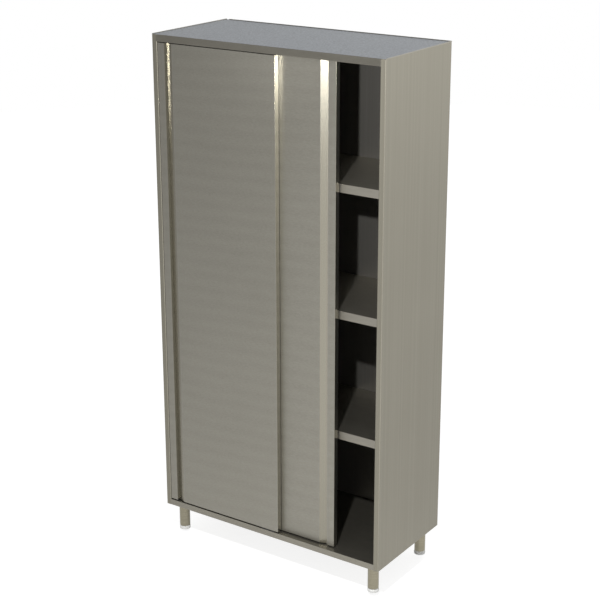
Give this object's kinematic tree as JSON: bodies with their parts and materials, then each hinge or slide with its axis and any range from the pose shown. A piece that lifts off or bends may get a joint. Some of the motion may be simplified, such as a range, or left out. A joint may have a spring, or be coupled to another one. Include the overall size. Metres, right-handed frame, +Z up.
{
  "type": "storage cabinet",
  "caption": "Tall brushed steel storage cabinet with overlapping sliding doors, full-height finger pulls, open doorway, shelves, and tube legs with levelling feet.",
  "frame": {"origin": "on the floor under the middle of the cabinet", "axes": "+Z up, +X to the right when facing the doors, which look towards -Y"},
  "size_m": [1, 0.45, 2.015],
  "materials": {
    "casing_steel": "satin, brushed upright",
    "door_steel": "satin, brushed crosswise",
    "shelf_steel": "satin",
    "leg_steel": "satin, turned",
    "fitting_steel": "plain bright steel",
    "white_nylon": "moulded, matt",
    "black_nylon": "moulded, matt",
    "foot_plastic": "moulded, matt",
    "stop_rubber": "matt"
  },
  "bodies": {
    "root": {"back_panel": "casing_steel", "bottom_guide": "black_nylon", "bottom_panel": "casing_steel", "bottom_stiffener": "fitting_steel", "front_left_leg": "leg_steel", "front_left_leg_insert": "fitting_steel", "front_left_upright": "fitting_steel", "front_right_leg": "leg_steel", "front_right_leg_insert": "fitting_steel", "front_right_upright": "fitting_steel", "front_track": "fitting_steel", "left_side_panel": "casing_steel", "leg_bolts": "fitting_steel", "lower_shelf": "shelf_steel", "lower_shelf_clips": "fitting_steel", "lower_shelf_stiffener": "fitting_steel", "middle_shelf": "shelf_steel", "middle_shelf_clips": "fitting_steel", "middle_shelf_stiffener": "fitting_steel", "rear_left_leg": "leg_steel", "rear_left_leg_insert": "fitting_steel", "rear_left_upright": "fitting_steel", "rear_right_leg": "leg_steel", "rear_right_leg_insert": "fitting_steel", "rear_right_upright": "fitting_steel", "rear_track": "fitting_steel", "right_side_panel": "casing_steel", "top_panel": "casing_steel", "track_screws": "fitting_steel", "track_stops": "stop_rubber", "upper_shelf": "shelf_steel", "upper_shelf_clips": "fitting_steel", "upper_shelf_stiffener": "fitting_steel"},
    "front_door": {"front_door_axles": "fitting_steel", "front_door_back": "door_steel", "front_door_channel": "fitting_steel", "front_door_left_hanger": "fitting_steel", "front_door_right_hanger": "fitting_steel", "front_door_skin": "door_steel", "front_door_stiffeners": "fitting_steel"},
    "front_door_left_rollers_pair": {"front_door_left_rollers": "white_nylon"},
    "front_door_right_rollers_pair": {"front_door_right_rollers": "white_nylon"},
    "front_left_foot": {"front_left_foot_pad": "foot_plastic", "front_left_foot_stem": "fitting_steel"},
    "front_right_foot": {"front_right_foot_pad": "foot_plastic", "front_right_foot_stem": "fitting_steel"},
    "rear_door": {"rear_door_axles": "fitting_steel", "rear_door_back": "door_steel", "rear_door_channel": "fitting_steel", "rear_door_left_hanger": "fitting_steel", "rear_door_right_hanger": "fitting_steel", "rear_door_skin": "door_steel", "rear_door_stiffeners": "fitting_steel"},
    "rear_door_left_rollers_pair": {"rear_door_left_rollers": "white_nylon"},
    "rear_door_right_rollers_pair": {"rear_door_right_rollers": "white_nylon"},
    "rear_left_foot": {"rear_left_foot_pad": "foot_plastic", "rear_left_foot_stem": "fitting_steel"},
    "rear_right_foot": {"rear_right_foot_pad": "foot_plastic", "rear_right_foot_stem": "fitting_steel"}
  },
  "joints": [
    {"name": "front_door_slide", "type": "slide", "parent": "root", "child": "front_door", "axis": [1, 0, 0], "range_m": [0, 0.429]},
    {"name": "rear_door_slide", "type": "slide", "parent": "root", "child": "rear_door", "axis": [1, 0, 0], "range_m": [-0.2405, 0.1885]},
    {"name": "front_door_left_rollers_turn", "type": "hinge", "parent": "front_door", "child": "front_door_left_rollers_pair", "pos_m": [-0.377, -0.212, 2.0028], "axis": [0, 1, 0], "range_deg": [-10, 3290]},
    {"name": "front_door_right_rollers_turn", "type": "hinge", "parent": "front_door", "child": "front_door_right_rollers_pair", "pos_m": [-0.052, -0.212, 2.0028], "axis": [0, 1, 0], "range_deg": [-10, 3290]},
    {"name": "rear_door_left_rollers_turn", "type": "hinge", "parent": "rear_door", "child": "rear_door_left_rollers_pair", "pos_m": [-0.1365, -0.188, 2.0028], "axis": [0, 1, 0], "range_deg": [-1850, 1450]},
    {"name": "rear_door_right_rollers_turn", "type": "hinge", "parent": "rear_door", "child": "rear_door_right_rollers_pair", "pos_m": [0.1885, -0.188, 2.0028], "axis": [0, 1, 0], "range_deg": [-1850, 1450]},
    {"name": "front_left_foot_height", "type": "slide", "parent": "root", "child": "front_left_foot", "axis": [0, 0, -1], "range_m": [0, 0.02]},
    {"name": "front_right_foot_height", "type": "slide", "parent": "root", "child": "front_right_foot", "axis": [0, 0, -1], "range_m": [0, 0.02]},
    {"name": "rear_left_foot_height", "type": "slide", "parent": "root", "child": "rear_left_foot", "axis": [0, 0, -1], "range_m": [0, 0.02]},
    {"name": "rear_right_foot_height", "type": "slide", "parent": "root", "child": "rear_right_foot", "axis": [0, 0, -1], "range_m": [0, 0.02]}
  ],
  "couplings": [
    {"joint": "front_door_left_rollers_turn", "follows": "front_door_slide", "rad_per_m": 133.33},
    {"joint": "front_door_right_rollers_turn", "follows": "front_door_slide", "rad_per_m": 133.33},
    {"joint": "rear_door_left_rollers_turn", "follows": "rear_door_slide", "rad_per_m": 133.33},
    {"joint": "rear_door_right_rollers_turn", "follows": "rear_door_slide", "rad_per_m": 133.33}
  ]
}
